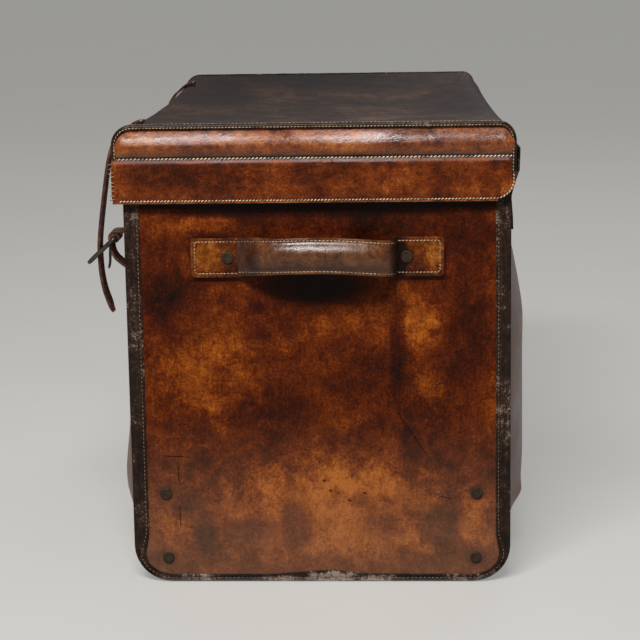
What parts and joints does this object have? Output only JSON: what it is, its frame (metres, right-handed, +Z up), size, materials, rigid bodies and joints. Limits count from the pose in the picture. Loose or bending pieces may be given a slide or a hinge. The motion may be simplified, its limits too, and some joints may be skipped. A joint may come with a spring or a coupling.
{
  "type": "boot trunk",
  "caption": "Deep leather boot trunk with a skirted lid on a leather hinge, strap and buckle closures, bowed end handles and divided lined inside.",
  "frame": {"origin": "middle of the base, on the floor that the trunk stands on", "axes": "+X from the front with the straps to the back with the hinge, +Y along the trunk from its right end to its left end as the front is faced, +Z up"},
  "size_m": [0.4711, 0.6716, 0.4829],
  "materials": {
    "chestnut_leather": "old polished saddle leather, mottled from tan to near black",
    "dark_binding_leather": "dark waxed edge leather with pale thread",
    "handle_leather": "glossy worn leather",
    "strap_leather": "dry dark bridle leather, worn lighter at the tips",
    "handle_core": "rolled leather filling",
    "lining_cloth": "unbleached linen ticking",
    "divider_cloth": "thin board covered in the lining cloth",
    "pine": "planed pine",
    "rivet_bronze": "dull tarnished bronze",
    "angle_steel": "dark oiled steel",
    "buckle_steel": "dark worn iron"
  },
  "bodies": {
    "trunk": {"front_wall": "chestnut_leather", "back_wall": "chestnut_leather", "bottom_panel": "chestnut_leather", "right_end_panel": "chestnut_leather", "left_end_panel": "chestnut_leather", "right_end_binding": "dark_binding_leather", "left_end_binding": "dark_binding_leather", "mouth_binding": "dark_binding_leather", "base_board": "pine", "front_lining": "lining_cloth", "back_lining": "lining_cloth", "right_lining": "lining_cloth", "left_lining": "lining_cloth", "floor_lining": "lining_cloth", "right_divider": "divider_cloth", "left_divider": "divider_cloth", "divider_edgings": "dark_binding_leather", "floor_battens": "pine", "corner_angles": "angle_steel", "corner_rivets": "rivet_bronze", "right_handle_grip": "handle_leather", "right_handle_core": "handle_core", "right_handle_tabs": "handle_leather", "right_handle_rivets": "rivet_bronze", "left_handle_grip": "handle_leather", "left_handle_core": "handle_core", "left_handle_tabs": "handle_leather", "left_handle_rivets": "rivet_bronze", "hinge_leather": "dark_binding_leather", "right_chape": "strap_leather", "left_chape": "strap_leather"},
    "lid": {"lid_wrap": "chestnut_leather", "lid_right_end": "chestnut_leather", "lid_left_end": "chestnut_leather", "lid_right_band": "chestnut_leather", "lid_left_band": "chestnut_leather", "lid_front_band": "chestnut_leather", "lid_right_welt": "dark_binding_leather", "lid_left_welt": "dark_binding_leather", "lid_hinge_flap": "dark_binding_leather", "lid_lining": "lining_cloth", "strap_roots": "strap_leather"},
    "right_strap": {"right_strap_tail": "strap_leather"},
    "left_strap": {"left_strap_tail": "strap_leather"},
    "right_buckle": {"right_buckle_frame": "buckle_steel"},
    "left_buckle": {"left_buckle_frame": "buckle_steel"},
    "right_tongue": {"right_buckle_tongue": "buckle_steel"},
    "left_tongue": {"left_buckle_tongue": "buckle_steel"}
  },
  "joints": [
    {"name": "lid_hinge", "type": "hinge", "parent": "trunk", "child": "lid", "pos_m": [0.2032, 0, 0.434], "axis": [0, 1, 0], "range_deg": [0, 165]},
    {"name": "right_strap_flex", "type": "hinge", "parent": "lid", "child": "right_strap", "pos_m": [-0.19634, -0.23, 0.47487], "axis": [0, 1, 0], "range_deg": [-1.3, 0], "stiffness_Nm_per_rad": 0.3, "springref_deg": 1.72},
    {"name": "right_buckle_swing", "type": "hinge", "parent": "trunk", "child": "right_buckle", "pos_m": [-0.21367, -0.23, 0.3625], "axis": [0, 1, 0], "range_deg": [0, 60]},
    {"name": "right_tongue_swing", "type": "hinge", "parent": "trunk", "child": "right_tongue", "pos_m": [-0.21367, -0.23, 0.3625], "axis": [0, 1, 0], "range_deg": [0, 7]},
    {"name": "left_strap_flex", "type": "hinge", "parent": "lid", "child": "left_strap", "pos_m": [-0.19634, 0.23, 0.47487], "axis": [0, 1, 0], "range_deg": [-1.3, 0], "stiffness_Nm_per_rad": 0.3, "springref_deg": 1.72},
    {"name": "left_buckle_swing", "type": "hinge", "parent": "trunk", "child": "left_buckle", "pos_m": [-0.21367, 0.23, 0.3625], "axis": [0, 1, 0], "range_deg": [0, 60]},
    {"name": "left_tongue_swing", "type": "hinge", "parent": "trunk", "child": "left_tongue", "pos_m": [-0.21367, 0.23, 0.3625], "axis": [0, 1, 0], "range_deg": [0, 7]}
  ]
}
